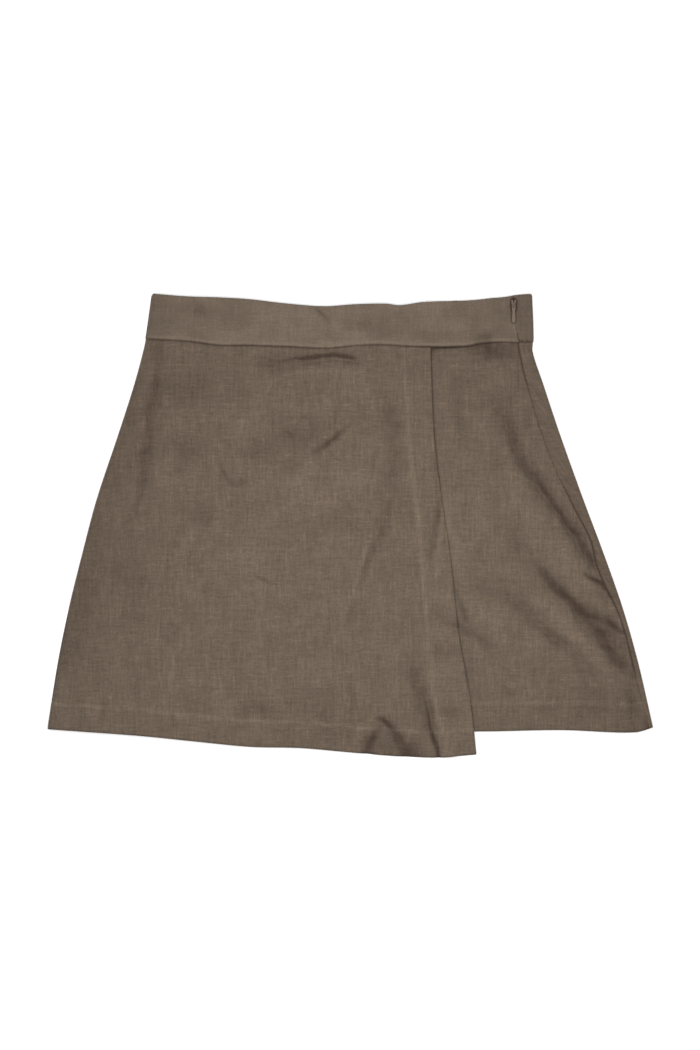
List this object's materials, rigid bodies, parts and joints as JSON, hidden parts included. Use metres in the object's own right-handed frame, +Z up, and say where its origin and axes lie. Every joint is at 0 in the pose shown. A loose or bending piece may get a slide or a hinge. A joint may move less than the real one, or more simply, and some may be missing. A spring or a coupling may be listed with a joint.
{
  "type": "wrap-front skort laid flat",
  "caption": "Linen skort laid flat on its back: short flared shorts under one front wrap panel, plain waistband, concealed side zip.",
  "frame": {"origin": "under the middle of the laid skort's outline, on the surface it lies on", "axes": "+X to the wearer's left along the hem, +Y to the waist, +Z up from the surface, out of the front"},
  "size_m": [0.557, 0.4272, 0.0078],
  "materials": {
    "linen": "matte slubbed plain-weave linen",
    "waistband_linen": "the same linen, interfaced, smoother and a little lighter",
    "zip_tape": "matte woven polyester",
    "zip_lacquer": "satin lacquer, worn at the edges"
  },
  "bodies": {
    "garment": {"back_right_leg": "linen", "back_left_leg": "linen", "front_right_leg": "linen", "front_left_leg": "linen", "front_wrap_panel": "linen", "waistband_back": "waistband_linen", "waistband_front": "waistband_linen", "zip_tape": "zip_tape", "zip_slider": "zip_lacquer"},
    "pull": {"zip_pull": "zip_lacquer"}
  },
  "joints": [
    {"name": "pull_flip", "type": "hinge", "parent": "garment", "child": "pull", "pos_m": [0.15015, 0.20323, 0.00595], "axis": [-1, 0, 0], "range_deg": [0, 170]}
  ]
}
